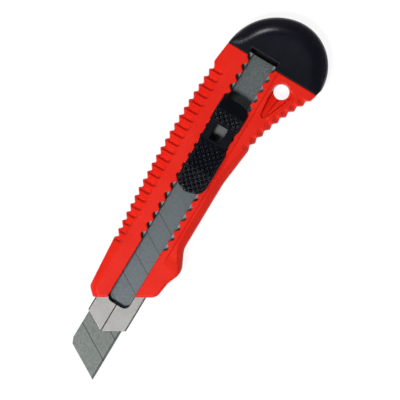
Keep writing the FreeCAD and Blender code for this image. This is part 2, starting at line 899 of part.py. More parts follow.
def make_peg():
    """Peg staked in the carrier, standing in the blade's hole."""
    x, y = peg_place()
    low = at("blade_z")
    tall = at("carrier_z") + at("carrier_sheet") - low
    make_round_part("blade_peg", x, y, low, at("peg_radius"), tall, at("peg_head_radius"),
                    at("peg_head_tall"))


def make_rivet():
    """Rivet that holds the lock spring down on the carrier."""
    low = at("carrier_z")
    tall = at("carrier_sheet") + at("spring_thick")
    make_round_part("spring_rivet", at("rivet_x"), at("slide_y"), low, at("rivet_radius"), tall,
                    at("rivet_head_radius"), at("rivet_head_tall"))


def strip_outline(path, thick):
    """Both sides of a bent strip of even thickness along a path."""
    sides = ([], [])
    for place, (x, z) in enumerate(path):
        before = path[max(place - 1, 0)]
        after = path[min(place + 1, len(path) - 1)]
        arms = []
        for start, end in ((before, (x, z)), ((x, z), after)):
            arm = Vector(end[0] - start[0], end[1] - start[1], 0)
            if arm.Length > 0:
                arms.append(arm.normalize())
        normal = Vector(0, 0, 0)
        for arm in arms:
            normal += Vector(-arm.y, arm.x, 0)
        normal.normalize()
        grow = thick / 2 / (normal.dot(Vector(-arms[0].y, arms[0].x, 0)))
        for side, sign in zip(sides, (1, -1)):
            side.append((x + normal.x * grow * sign, z + normal.y * grow * sign))
    return sides[0] + sides[1][::-1]


def make_lock_spring():
    """Leaf spring: riveted flat on the carrier under the window, then raised and level to its ears."""
    body = new_body("lock_spring")
    thick = at("spring_thick").value
    seat = at("carrier_z").value + at("carrier_sheet").value + thick / 2
    ears = (at("tooth_z") + at("ear_above_tooth")).value
    rivet = at("rivet_x").value
    ramp = rivet + at("leaf_level").value
    path = [
        (rivet - at("leaf_rear").value, seat),
        (ramp, seat),
        (ramp + at("leaf_rise").value, ears),
        (at("ear_x").value + at("leaf_end").value, ears),
    ]
    side = new_sketch(body, "XZ_Plane", "SpringSide", -at("slide_y"))
    draw_free(side, strip_outline(path, thick))
    pad(body, side, "SpringPad", at("spring_wide"), middle=True)

    middle = at("slide_y")
    reach = at("ear_reach")
    root = at("ear_root") / 2
    tip = at("ear_tip") / 2
    inside = at("spring_wide") / 2 - at("spring_thick")
    ear = new_sketch(body, "XY_Plane", "Ears", number(ears - thick / 2))
    draw_corners(ear, [
        (at("ear_x") - tip, middle - reach),
        (at("ear_x") + tip, middle - reach),
        (at("ear_x") + root, middle - inside),
        (at("ear_x") + root, middle + inside),
        (at("ear_x") + tip, middle + reach),
        (at("ear_x") - tip, middle + reach),
        (at("ear_x") - root, middle + inside),
        (at("ear_x") - root, middle - inside),
    ])
    pad(body, ear, "EarsPad", at("spring_thick"))
    hole = new_sketch(body, "XY_Plane", "SpringHole", number(seat - thick))
    draw_circle(hole, at("rivet_x"), middle, at("rivet_radius") + at("hole_gap"))
    cut(body, hole, "SpringHoleCut", at("spring_thick") * 2, reverse=True)


def make_thumb_slide():
    """Black thumb slide: front pad, narrow waist with a window, rear pad, and a hollow stem below."""
    body = new_body("thumb_slide")
    middle = at("slide_y")
    half = at("stem_wide") / 2
    stem = new_sketch(body, "XY_Plane", "StemOutline", at("stem_z"))
    draw_box(stem, at("stem_rear"), at("stem_front"), middle - half, middle + half)
    pad(body, stem, "StemPad", at("deck_z") - at("stem_z"))
    foot_half = half + at("foot_reach")
    feet = new_sketch(body, "XY_Plane", "Feet", at("stem_z") - at("foot_tall"))
    draw_box(feet, at("foot_rear"), at("foot_front"), middle - foot_half, middle + foot_half)
    pad(body, feet, "FeetPad", at("foot_tall"))

    waist = new_sketch(body, "XY_Plane", "WaistOutline", at("deck_z"))
    waist_half = at("waist_half")
    past = at("past")
    draw_box(waist, at("rear_pad_front") - past, at("pad_rear") + past, middle - waist_half,
             middle + waist_half)
    pad(body, waist, "WaistPad", at("deck_top") - at("deck_z"))

    pad_y = middle + at("pad_shift_y")
    pad_half = at("pad_half")
    nose_half = at("pad_nose_half")
    nose_x = at("pad_front") - at("pad_nose_long")
    corner_x = at("pad_front") - at("pad_corner_long")
    front = new_sketch(body, "XY_Plane", "FrontPadOutline", at("deck_z"))
    draw_corners(front, [
        (at("pad_rear"), pad_y - pad_half),
        (corner_x, pad_y - pad_half),
        (nose_x, pad_y - nose_half),
        (at("pad_front"), pad_y - at("pad_tip_half")),
        (at("pad_front"), pad_y + at("pad_tip_half")),
        (nose_x, pad_y + nose_half),
        (corner_x, pad_y + pad_half),
        (at("pad_rear") + at("pad_back_long"), pad_y + pad_half),
        (at("pad_rear"), pad_y + pad_half - at("pad_back_wide")),
    ])
    pad(body, front, "FrontPad", at("pad_top") - at("deck_z"))

    rear_half = at("rear_pad_half")
    corner_half = rear_half - at("rear_pad_corner_wide")
    corner_x = at("rear_pad_rear") + at("rear_pad_corner_long")
    rear = new_sketch(body, "XY_Plane", "RearPadOutline", at("deck_z"))
    draw_corners(rear, [
        (at("rear_pad_rear"), middle - corner_half),
        (corner_x, middle - rear_half),
        (at("rear_pad_front"), middle - rear_half),
        (at("rear_pad_front"), middle + rear_half),
        (corner_x, middle + rear_half),
        (at("rear_pad_rear"), middle + corner_half),
    ])
    pad(body, rear, "RearPad", at("rear_pad_top") - at("deck_z"))

    above = at("pad_top") + past
    slopes = new_sketch(body, "XZ_Plane", "FrontPadSlopes")
    draw_corners(slopes, [
        (at("pad_front") + past, at("pad_nose_top")),
        (at("pad_front") + past, above),
        (at("pad_rear") - past, above),
        (at("pad_rear") - past, at("pad_low")),
        (at("pad_rear"), at("pad_low")),
        (at("pad_crease"), at("pad_top")),
    ])
    cut(body, slopes, "FrontPadSlopesCut", at("overall_length"), middle=True)
    tail = new_sketch(body, "XZ_Plane", "RearPadSlope")
    draw_corners(tail, [
        (at("rear_pad_crease"), at("rear_pad_top")),
        (at("rear_pad_crease"), above),
        (at("rear_pad_rear") - past, above),
        (at("rear_pad_rear") - past, at("rear_pad_low")),
    ])
    cut(body, tail, "RearPadSlopeCut", at("overall_length"), middle=True)

    hollow_half = at("hollow_half")
    wall = at("stem_wall")
    hollow = new_sketch(body, "XY_Plane", "StemHollow", at("stem_z") - past)
    draw_box(hollow, at("stem_rear") + wall, at("stem_front") - wall, middle - hollow_half,
             middle + hollow_half)
    cut(body, hollow, "StemHollowCut", at("deck_z") - at("stem_z") + past, reverse=True)
    window = new_sketch(body, "XY_Plane", "Window", at("deck_top"))
    window_half = at("window_half")
    draw_box(window, at("window_rear"), at("window_front"), middle - window_half, middle + window_half)
    cut(body, window, "WindowCut", at("window_deep"))

    boss_half = at("boss_half")
    boss = new_sketch(body, "XY_Plane", "PressBoss", at("boss_z"))
    draw_box(boss, at("boss_rear"), at("boss_front"), middle - boss_half, middle + boss_half)
    pad(body, boss, "PressBossPad", at("deck_z") - at("boss_z"))
    long_half = at("port_half_long")
    tall_half = at("port_half_tall")
    ports = new_sketch(body, "XZ_Plane", "EarPorts", -at("slide_y"))
    draw_box(ports, at("ear_x") - long_half, at("ear_x") + long_half, at("tooth_z") - tall_half,
             at("tooth_z") + tall_half)
    cut(body, ports, "EarPortsCut", at("stem_wide") + past, middle=True)


def check_everything():
    """Stops if any object failed or any sub-part is not one valid solid."""
    doc.recompute()
    for thing in doc.Objects:
        if "Invalid" in thing.State or "Error" in thing.State:
            raise RuntimeError("%s is %s" % (thing.Name, thing.State))
    for name, part in made.items():
        shape = part.Shape
        if shape.isNull() or not shape.isValid():
            raise RuntimeError(name + " has no valid shape")
        if len(shape.Solids) != 1:
            raise RuntimeError("%s has %d solids" % (name, len(shape.Solids)))


def write_parts():
    os.makedirs("parts", exist_ok=True)
    for name, part in made.items():
        part.Shape.exportStep("parts/%s.step" % name)
        box = part.Shape.optimalBoundingBox()
        low = (box.XMin, box.YMin, box.ZMin)
        high = (box.XMax, box.YMax, box.ZMax)
        print("%-16s %8.1f mm3 " % (name, part.Shape.Volume), *["%7.2f" % v for v in low + high])


fill_sheet()
make_handle()
make_end_cap()
make_channel()
make_blade()
make_carrier()
make_peg()
make_rivet()
make_lock_spring()
make_thumb_slide()
check_everything()
write_parts()
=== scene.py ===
import math

import bpy
import numpy as np
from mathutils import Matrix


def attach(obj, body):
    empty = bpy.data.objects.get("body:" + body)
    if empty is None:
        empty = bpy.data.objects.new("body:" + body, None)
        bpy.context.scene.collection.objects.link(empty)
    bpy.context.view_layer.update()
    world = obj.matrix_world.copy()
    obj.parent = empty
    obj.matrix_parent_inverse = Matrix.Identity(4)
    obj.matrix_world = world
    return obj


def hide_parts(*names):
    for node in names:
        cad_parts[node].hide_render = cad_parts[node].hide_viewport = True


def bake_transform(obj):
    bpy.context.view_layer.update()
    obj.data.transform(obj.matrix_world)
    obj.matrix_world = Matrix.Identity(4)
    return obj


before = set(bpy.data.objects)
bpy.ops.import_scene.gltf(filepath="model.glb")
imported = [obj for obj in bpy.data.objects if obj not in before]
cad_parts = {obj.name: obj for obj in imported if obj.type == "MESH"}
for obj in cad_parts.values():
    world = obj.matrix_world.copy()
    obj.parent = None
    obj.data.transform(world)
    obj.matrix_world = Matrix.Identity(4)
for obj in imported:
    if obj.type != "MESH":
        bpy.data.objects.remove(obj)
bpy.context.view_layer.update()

import openvdb
from mathutils import Matrix, Vector

# Snap-off utility knife. Shapes are worked out in millimetres in the CAD frame: +X to the blade tip,
# +Y to the cutting edge side, +Z out of the face with the thumb slide.
MM = 0.001

SLIDE_Y = -5.0
THICK = 11.0
JOINT_X = -70.7

# Corners of the handle's plan, from the spine's rear round the nose to the edge side's rear. The third
# number is the radius of the edge that leaves the corner, negative where it is hollow, 0 where straight.
SPINE_REAR = (-70.7, -23.2, 350.0)
CROWN = (-30.4, -25.5, 600.0)
GRIP_FRONT = (34.7, -22.0, 0.0)
SPINE_FRONT = (58.9, -20.2, 0.0)
NOSE_SHOULDER = (60.3, -19.2, 0.0)
NOSE_TIP = (63.0, -16.2, 0.0)
CUT_END = (49.4, 7.2, 5.0)
CHIN_FRONT = (46.0, 9.6, 0.0)
CHIN_REAR = (40.0, 10.4, 0.0)
BUMP_FRONT = (36.8, 11.6, 8.0)
BUMP_REAR = (28.6, 11.7, 0.0)
BUMP_FOOT = (24.6, 9.75, -9.4)
WAIST_FRONT = (20.5, 8.65, 0.0)
WAIST_REAR = (-13.0, 8.65, -105.0)
FLARE_END = (-67.1, 23.7, 0.0)
EDGE_REAR = (-70.7, 24.9, 0.0)
CAP_EDGE = (-73.8, 25.5, 22.3)
CAP_END = (-96.3, 1.1, 27.5)

# Handle's upper face: the slope to the spine, the step along the edge side and the bevel beyond it, whose
# width changes along X.
SPINE_SLOPE_Y = -17.5
SPINE_SLOPE = math.tan(math.radians(18.0))
STEP_Y, STEP_DROP, STEP_FRONT = 4.1, 0.4, 34.0
EDGE_BEVEL_X = [-70.0, -36.0, -16.0, 20.0, 29.0, 33.0, 50.0]
EDGE_BEVEL_WIDTH = [0.9, 1.2, 3.1, 3.3, 2.6, 1.0, 0.8]
EDGE_BEVEL_SLOPE = 0.95
NOSE_BEVEL_WIDTH, NOSE_BEVEL_SLOPE = 2.3, 0.7

# Grips, notches and the hang hole: the first of each row, towards the blade, and the spacing. A lead is the
# share of the spacing from a tooth's crest to its valley.
POCKET_FIRST, POCKET_PITCH, POCKET_COUNT = 33.4, 4.32, 22
POCKET_END_Y, POCKET_HALF, POCKET_DEEP, POCKET_WALL = -19.3, 1.3, 1.5, 1.4
TOOTH_FIRST, TOOTH_PITCH, TOOTH_CREST, TOOTH_DEEP, TOOTH_LEAD = 34.0, 4.28, -0.17, 1.8, 0.32
FRONT_TEETH, REAR_TEETH = 15, 7
FLARE_FIRST, FLARE_PITCH, FLARE_TEETH = -32.5, 4.71, 8
FLARE_CREST, FLARE_DEEP, FLARE_LEAD = 0.35, -1.1, 0.5
SCOOP_LONG, SCOOP_HALF, SCOOP_SLOPE, SCOOP_LAG = 3.7, 2.1, 0.9, 0.1
NOTCH_FIRST, NOTCH_PITCH = 25.9, 5.35
NOTCH_DEEP, NOTCH_FOOT, NOTCH_FLANK = 1.85, 2.3, 1.75
HANG = (-63.8, 9.95)
HANG_RADIUS = 3.7

# The dish beside the hang hole: a circle round the hole tapering to a smaller one. Its floor falls towards
# the hole, starting DISH_FALL_FROM along it from the large circle's centre.
DISH = (-63.8, 10.25, 4.5)
DISH_POINT = (-50.4, 8.4, 1.4)
DISH_SHALLOW, DISH_DEEP, DISH_FALL, DISH_FALL_FROM = 0.9, 4.8, 0.37, 14.4
DISH_WALL = 0.9
DISH_RIM, DISH_RIM_AWAY, DISH_RIM_HALF = 0.45, 0.9, 0.6

# Cap, the spigot that it grips, and the notch in both that clears the channel's tail.
SPIGOT_END, SPIGOT_ROOT, SPIGOT_HALF = -79.5, -60.0, 3.7
SPIGOT_SPINE_END, SPIGOT_SPINE_ROOT = -16.8, -24.9
SPIGOT_EDGE_END, SPIGOT_EDGE_ROOT = 21.6, 23.8
SPIGOT_GAP = 0.15
CAP_FALL_RUN, CAP_FALL_WIDTH, CAP_FALL_SLOPE = 9.0, 5.3, 0.82
CAP_SINK = 0.15
CAP_NOTCH_Y, CAP_NOTCH_HALF, CAP_NOTCH_DEEP, CAP_NOTCH_FLOOR = -5.3, 7.0, 3.65, 5.0

# Folded channel, the cavity and slot that hold it, and the blade.
CHANNEL_HALF = 10.2
CHANNEL_TAIL, CHANNEL_TIP = -72.5, 74.9
CHANNEL_MIDDLE, CHANNEL_TALL_HALF, CHANNEL_SHEET = 5.6, 2.0, 0.5
CHANNEL_ROOF = 6.4
CAVITY_GAP = 0.05
SLOT_HALF, SLOT_END, SLOT_CORNER = 5.4, 60.3, 2.8
SLOT_FLOOR, SLOT_LEDGE = 7.5, 9.3
EAR_RUN_HALF, EAR_RUN_FRONT = 7.4, 28.7
BLADE_Y = -5.5
SCORE_FIRST, SCORE_PITCH = 16.05, 10.8

# Thumb slide: pads, the deck between them and what hangs below.
FRONT_PAD_Y = SLIDE_Y + 0.75
FRONT_PAD_HALF, REAR_PAD_HALF = 7.3, 7.45
FRONT_PAD_REAR, FRONT_PAD_CROWN, FRONT_PAD_TIP = -26.2, -13.0, -1.0
REAR_PAD_FRONT, REAR_PAD_CROWN, REAR_PAD_REAR = -36.0, -42.7, -49.2
PAD_FLOOR, DECK_TOP = 12.4, 13.2
STUD_PITCH_X, STUD_PITCH_Y = 2.95, 2.9
STUD_MARGIN, STUD_RISE = 0.35, 0.5

# Deck and window in the plan, as rear, front, spine side and edge side. Blocks below the pads, as rear,
# front, half width, floor and roof.
DECK = -37.0, -25.2, SLIDE_Y - 6.9, SLIDE_Y + 6.8
WINDOW = -35.7, -28.0, SLIDE_Y - 2.9, SLIDE_Y + 2.7
STEM = -46.0, -4.0, 5.1, 6.9, 12.9
FEET = -34.0, -28.0, 6.4, 6.0, 7.2
HOLLOW = -45.3, -4.7, 3.5, 5.0, PAD_FLOOR
BOSS = -22.9, -20.4, 3.7, 10.15, 12.7
PORTS = -19.1, -14.7, 5.6, 8.1, 10.5

# Lock spring.
SPRING_REAR, SPRING_FRONT, SPRING_HALF = -44.5, -14.9, 3.1
SPRING_SEAT, EAR_LEVEL = 5.75, 9.85
RISE_REAR, RISE_FRONT = -30.6, -24.7
EAR_X, EAR_REACH = -16.9, 6.7
RIVET_X, RIVET_HOLE = -42.0, 1.25

# Boxes of sample points, a little larger than each piece, and the spacing of the points in each.
HANDLE_ROOM = (-80.6, -27.2, -1.0), (64.4, 26.9, 12.4), 0.25
CAP_ROOM = (-97.4, -25.2, -1.0), (-69.2, 27.2, 12.2), 0.25
SLIDE_ROOM = (-50.2, -14.0, 5.2), (0.2, 4.4, 16.8), 0.14
CHANNEL_ROOM = (-73.3, -16.1, 2.8), (75.8, 6.1, 8.4), 0.16
SPRING_ROOM = (-45.4, -12.6, 5.0), (-14.0, 2.6, 10.9), 0.1


# ---------------------------------------------------------------- shapes as distances

class Grid:
    """Points of a box, in millimetres. Shapes are arrays over them, negative inside."""

    def __init__(self, low, high, step):
        self.low = np.array(low, float)
        self.step = step
        counts = [int(round((b - a) / step)) + 1 for a, b in zip(low, high)]
        axes = [a + step * np.arange(n) for a, n in zip(low, counts)]
        self.x = axes[0].astype(np.float32)[:, None] + np.zeros((1, counts[1]), np.float32)
        self.y = axes[1].astype(np.float32)[None, :] + np.zeros((counts[0], 1), np.float32)
        self.z = axes[2].astype(np.float32)[None, None, :]


def smax(a, b, k):
    """The larger of two distances, with the edge between them rounded over a width k."""
    h = np.maximum(k - np.abs(a - b), 0.0) / k
    return np.maximum(a, b) + h * h * (k * 0.25)


def smin(a, b, k):
    """The smaller of two distances, with the corner between them filled over a width k."""
    return -smax(-a, -b, k)


def above_zero(value, k):
    """The value where it is positive, else 0, with the bend between rounded over k."""
    return smax(value, np.float32(0.0), k)


def ease(t):
    """0 below 0, 1 above 1 and a smooth climb between."""
    t = np.clip(t, 0.0, 1.0)
    return t * t * (3.0 - 2.0 * t)


def soften(field, passes):
    """Blurs a plan field a little, which rounds its corners."""
    for _ in range(passes):
        for axis in (0, 1):
            padded = np.pad(field, [(1, 1) if a == axis else (0, 0) for a in (0, 1)], mode="edge")
            low = padded[:-2] if axis == 0 else padded[:, :-2]
            mid = padded[1:-1] if axis == 0 else padded[:, 1:-1]
            high = padded[2:] if axis == 0 else padded[:, 2:]
            field = (low + 2 * mid + high) * 0.25
    return field


def arc_points(start, end, radius):
    """An arc's centre, and its points from start, without its end. A negative radius bends right."""
    a, b = Vector(start[:2]), Vector(end[:2])
    chord = b - a
    turn = 1 if radius > 0 else -1
    r = abs(radius)
    left = Vector((-chord.y, chord.x)).normalized()
    centre = (a + b) / 2 + left * math.sqrt(r * r - (chord.length / 2) ** 2) * turn
    sweep = 2 * math.asin(chord.length / 2 / r) * turn
    count = max(2, int(abs(sweep) / math.radians(4)), int(chord.length / 4))
    first = math.atan2(a.y - centre.y, a.x - centre.x)
    turns = [first + sweep * i / count for i in range(count)]
    return centre, [(centre.x + r * math.cos(t), centre.y + r * math.sin(t)) for t in turns]


def plan_points(corners):
    """Points of a closed outline given by its corners and the radii of the edges between them."""
    points = []
    for start, end in zip(corners, corners[1:] + corners[:1]):
        if start[2]:
            points += arc_points(start, end, start[2])[1]
        else:
            points.append(start[:2])
    return points


def plan_distance(grid, points):
    """Distance to a closed outline, negative inside."""
    best = np.full(grid.x.shape, 1e9, np.float32)
    inside = np.zeros(grid.x.shape, bool)
    for (ax, ay), (bx, by) in zip(points, points[1:] + points[:1]):
        ex, ey = bx - ax, by - ay
        share = ((grid.x - ax) * ex + (grid.y - ay) * ey) / (ex * ex + ey * ey)
        share = np.clip(share, 0.0, 1.0)
        best = np.minimum(best, (grid.x - ax - share * ex) ** 2 + (grid.y - ay - share * ey) ** 2)
        if ay != by:
            crossing = (bx - ax) * (grid.y - ay) / (by - ay) + ax
            inside ^= ((ay > grid.y) != (by > grid.y)) & (grid.x < crossing)
    return np.where(inside, -np.sqrt(best), np.sqrt(best))


def saw_points(centre, radius, first_x, pitch, count, crest, depth, lead):
    """Crests and valleys of the grip teeth along an arc, from front to rear."""
    start = math.asin((first_x - centre.x) / radius)
    points = []
    for tooth in range(count):
        for share, inward in ((0.0, crest), (lead, depth)):
            turn = start - (tooth + share) * pitch / radius
            reach = radius - inward
            points.append((centre.x + reach * math.sin(turn), centre.y - reach * math.cos(turn)))
    return points


def height_distance(grid, top):
    """Distance over a surface given by its height in the plan."""
    slope_x, slope_y = np.gradient(top, grid.step)
    lean = 1.0 / np.sqrt(1.0 + slope_x**2 + slope_y**2)
    return (grid.z - top[:, :, None]) * lean[:, :, None]


def raised(plan):
    """A plan field that holds at every height."""
    return plan[:, :, None]


def sample(values, places):
    """Values between the grid's points, at places in grid steps."""
    places = np.clip(places, 0, np.array(values.shape) - 1.001)
    base = places.astype(int)
    rest = places - base
    total = 0.0
    for corner in range(8):
        offset = [corner >> axis & 1 for axis in range(3)]
        weight = 1.0
        for axis in range(3):
            weight = weight * (rest[:, axis] if offset[axis] else 1 - rest[:, axis])
        total = total + weight * values[tuple((base[:, axis] + offset[axis]) for axis in range(3))]
    return total


def skin(name, grid, values, adaptivity):
    """A mesh of the surface where the distance is zero, with exact normals."""
    volume = openvdb.FloatGrid()
    volume.background = 1.0
    volume.copyFromArray(np.ascontiguousarray(values, dtype=np.float32))
    places, triangles, quads = volume.convertToPolygons(isovalue=0.0, adaptivity=adaptivity)
    faces = [tuple(int(i) for i in f) for f in triangles] + [tuple(int(i) for i in f) for f in quads]
    mesh = bpy.data.meshes.new(name)
    points = (grid.low + places * grid.step) * MM
    mesh.from_pydata([tuple(p) for p in points.tolist()], [], faces)
    mesh.validate()
    slopes = np.stack([
        sample(values, places + step) - sample(values, places - step)
        for step in np.eye(3) * 0.5
    ], axis=1)
    slopes /= np.maximum(np.linalg.norm(slopes, axis=1, keepdims=True), 1e-9)
    first = mesh.polygons[0]
    if Vector(slopes[first.vertices[0]]).dot(first.normal) < 0:
        mesh.flip_normals()
    mesh.polygons.foreach_set("use_smooth", [True] * len(mesh.polygons))
    mesh.normals_split_custom_set_from_vertices([tuple(n) for n in slopes.tolist()])
    piece = bpy.data.objects.new(name, mesh)
    bpy.context.scene.collection.objects.link(piece)
    return piece


# ---------------------------------------------------------------- materials

class Wire:
    """A value in a node tree that takes ordinary arithmetic."""

    def __init__(self, tree, socket):
        self.tree = tree
        self.socket = socket

    def do(self, operation, other=None):
        """The result of a Math node on this value and another value or number."""
        node = self.tree.nodes.new("ShaderNodeMath")
        node.operation = operation
        for socket, value in zip(node.inputs, (self, other)):
            if isinstance(value, Wire):
                self.tree.links.new(value.socket, socket)
            elif value is not None:
                socket.default_value = value
        return Wire(self.tree, node.outputs[0])

    def __add__(self, other):
        return self.do("ADD", other)

    def __sub__(self, other):
        return self.do("SUBTRACT", other)

    def __mul__(self, other):
        return self.do("MULTIPLY", other)

    def __abs__(self):
        return self.do("ABSOLUTE")

    def over(self, other):
        """The larger of the two."""
        return self.do("MAXIMUM", other)

    def under(self, other):
        """The smaller of the two."""
        return self.do("MINIMUM", other)

    def ramp(self, start, end):
        """0 where the value is at start, 1 at end, smooth between."""
        node = self.tree.nodes.new("ShaderNodeMapRange")
        node.interpolation_type = "SMOOTHSTEP"
        self.tree.links.new(self.socket, node.inputs["Value"])
        low, high = min(start, end), max(start, end)
        node.inputs["From Min"].default_value = low
        node.inputs["From Max"].default_value = high
        node.inputs["To Min"].default_value = 0.0 if start < end else 1.0
        node.inputs["To Max"].default_value = 1.0 if start < end else 0.0
        return Wire(self.tree, node.outputs["Result"])

    def between(self, low, high):
        """The value, which noise keeps near the middle of 0 to 1, spread from low to high."""
        node = self.tree.nodes.new("ShaderNodeMapRange")
        self.tree.links.new(self.socket, node.inputs["Value"])
        node.inputs["From Min"].default_value = 0.3
        node.inputs["From Max"].default_value = 0.7
        node.inputs["To Min"].default_value = low
        node.inputs["To Max"].default_value = high
        return Wire(self.tree, node.outputs["Result"])


class Finish:
    """A material whose places are in millimetres in the CAD frame."""

    def __init__(self, name):
        self.material = bpy.data.materials.new(name)
        self.material.use_nodes = True
        self.tree = self.material.node_tree
        self.shader = self.tree.nodes["Principled BSDF"]

    def place(self, scale=(1.0, 1.0, 1.0)):
        """The place on the piece in millimetres, times a scale along each axis."""
        coordinates = self.tree.nodes.new("ShaderNodeTexCoord")
        mapping = self.tree.nodes.new("ShaderNodeMapping")
        mapping.inputs["Scale"].default_value = [s / MM for s in scale]
        self.tree.links.new(coordinates.outputs["Object"], mapping.inputs["Vector"])
        return mapping.outputs["Vector"]

    def axes(self):
        """X, Y and Z of the place in millimetres."""
        split = self.tree.nodes.new("ShaderNodeSeparateXYZ")
        self.tree.links.new(self.place(), split.inputs[0])
        return [Wire(self.tree, out) for out in split.outputs]

    def noise(self, scale, detail=3.0, roughness=0.5, stretch=(1.0, 1.0, 1.0)):
        """Soft random clouds from 0 to 1. The scale counts them per millimetre, about."""
        node = self.tree.nodes.new("ShaderNodeTexNoise")
        self.tree.links.new(self.place(stretch), node.inputs["Vector"])
        node.inputs["Scale"].default_value = scale
        node.inputs["Detail"].default_value = detail
        node.inputs["Roughness"].default_value = roughness
        return Wire(self.tree, node.outputs["Fac"])

    def mix(self, factor, first, second):
        """From the first colour to the second. Either is a triple or an earlier mix."""
        node = self.tree.nodes.new("ShaderNodeMix")
        node.data_type = "RGBA"
        self.tree.links.new(factor.socket, node.inputs["Factor"])
        for socket, colour in ((node.inputs[6], first), (node.inputs[7], second)):
            if isinstance(colour, tuple):
                socket.default_value = colour + (1.0,)
            else:
                self.tree.links.new(colour, socket)
        return node.outputs[2]

    def wire(self, socket, value):
        """Joins a value or a colour to one of the shader's inputs."""
        self.tree.links.new(value.socket if isinstance(value, Wire) else value, self.shader.inputs[socket])

    def bump(self, height, strength, depth):
        """Shades the surface as if it rose and fell by the depth, in millimetres."""
        node = self.tree.nodes.new("ShaderNodeBump")
        self.tree.links.new(height.socket, node.inputs["Height"])
        node.inputs["Strength"].default_value = strength
        node.inputs["Distance"].default_value = depth * MM
        self.tree.links.new(node.outputs["Normal"], self.shader.inputs["Normal"])

    def constant(self, **values):
        """Sets the shader's inputs, named with _ for a space, to fixed values."""
        for name, value in values.items():
            self.shader.inputs[name.replace("_", " ")].default_value = value


def handle_plastic():
    """Moulded red with faint flow clouds and a fine moulded texture."""
    finish = Finish("handle_plastic")
    clouds = finish.noise(0.07, 4.0)
    speckle = finish.noise(1.1, 3.0)
    colour = finish.mix(clouds.between(0.0, 1.0), (0.735, 0.014, 0.006), (0.80, 0.020, 0.008))
    colour = finish.mix(speckle.between(0.0, 0.35), colour, (0.68, 0.011, 0.005))
    finish.wire("Base Color", colour)
    finish.wire("Roughness", clouds.between(0.33, 0.42))
    finish.bump(finish.noise(2.4, 2.0), 0.3, 0.05)
    finish.constant(Specular_IOR_Level=0.16)
    return finish.material


def black_plastic(name, dark, light, specular, rough):
    """Black moulded plastic with a fine texture, matt along the cap's front edges and the rear pad's."""
    finish = Finish(name)
    clouds = finish.noise(0.09, 3.0)
    grain = finish.noise(3.2, 3.0)
    finish.wire("Base Color", finish.mix(clouds.between(0.0, 1.0), dark, light))
    x, y, z = finish.axes()
    in_notch = abs(y - CAP_NOTCH_Y).ramp(CAP_NOTCH_HALF + 0.7, CAP_NOTCH_HALF + 0.4)
    above_floor = z.ramp(CAP_NOTCH_FLOOR - 1.0, CAP_NOTCH_FLOOR)
    notch_edge = abs(x - (JOINT_X - CAP_NOTCH_DEEP)).ramp(0.55, 0.35) * in_notch * above_floor
    joint_edge = x.ramp(JOINT_X - 0.55, JOINT_X - 0.35) * x.ramp(JOINT_X + 2.0, JOINT_X + 1.0)
    pad_edge = abs(x - REAR_PAD_FRONT).ramp(0.8, 0.4)
    matt = notch_edge.over(joint_edge).over(pad_edge)
    worn = (clouds * 0.5 + grain * 0.5).between(rough - 0.04, rough + 0.05)
    finish.wire("Roughness", worn + matt * 0.65)
    finish.bump(grain, 0.25, 0.05)
    finish.constant(Specular_IOR_Level=specular)
    return finish.material


def steel(name, dark, light, rough, stretch):
    """Rolled steel: streaks along one direction in colour and relief, with cloudy gloss."""
    finish = Finish(name)
    streaks = finish.noise(1.0, 4.0, 0.6, stretch)
    clouds = finish.noise(0.16, 3.0)
    finish.wire("Base Color", finish.mix(streaks.between(0.0, 1.0), dark, light))
    finish.wire("Roughness", clouds.between(rough - 0.04, rough + 0.05))
    finish.bump(streaks, 0.1, 0.03)
    finish.constant(Metallic=1.0)
    return finish.material


def blade_finish():
    """Ground blade: fine crosswise grain, dark score lines, a ground strip along the cutting edge, and
    painted shade where the blade lies in the slot.
    """
    finish = Finish("blade_steel")
    x, y = finish.axes()[:2]
    grain = finish.noise(1.0, 4.0, 0.6, (2.2, 0.5, 2.2))
    spots = finish.noise(0.8, 4.0, 0.6)
    bare = finish.mix(grain.between(0.2, 0.8), (0.125, 0.138, 0.130), (0.165, 0.179, 0.168))
    # Painted shade: the stretch of blade inside the slot is painted darker and bluer than its bare tip.
    slot_shaded_blade = finish.mix(grain.between(0.2, 0.8), (0.107, 0.125, 0.136), (0.142, 0.160, 0.171))
    slot_end, bare_from = 60.0, 66.0
    colour = finish.mix(x.ramp(bare_from, slot_end), bare, slot_shaded_blade)
    colour = finish.mix(spots.between(-0.3, 0.5).over(0.0), colour, (0.097, 0.108, 0.105))
    lean = math.tan(math.radians(30.0))
    half_score = 0.17
    along = (x - (y - BLADE_Y) * lean - (SCORE_FIRST + half_score)) * (1.0 / SCORE_PITCH)
    nearest = abs(along - along.do("ROUND")) * SCORE_PITCH
    before_last, after_first = along.ramp(6.6, 6.4), along.ramp(-0.5, -0.4)
    line = nearest.ramp(0.36, 0.1) * before_last * after_first
    ground_edge = y.ramp(2.2, 2.7)
    colour = finish.mix(ground_edge, colour, (0.25, 0.27, 0.29))
    line_strength = x.ramp(slot_end, bare_from) * 0.35 + 0.6
    colour = finish.mix(line * line_strength, colour, (0.05, 0.06, 0.062))
    finish.wire("Base Color", colour)
    finish.wire("Roughness", spots.between(0.46, 0.56))
    finish.wire("Metallic", line.ramp(1.0, 0.0) * 0.25 + 0.75)
    finish.bump(grain, 0.12, 0.03)
    return finish.material


def slot_rim_distance(x, off):
    """Distance outside the channel's round-cornered slot, for a material."""
    across = off - (SLOT_HALF - SLOT_CORNER)
    ahead = x - (SLOT_END - SLOT_CORNER)
    corner = (across.over(0.0) * across.over(0.0) + ahead.over(0.0) * ahead.over(0.0)).do("SQRT")
    return corner + across.over(ahead).under(0.0) - SLOT_CORNER


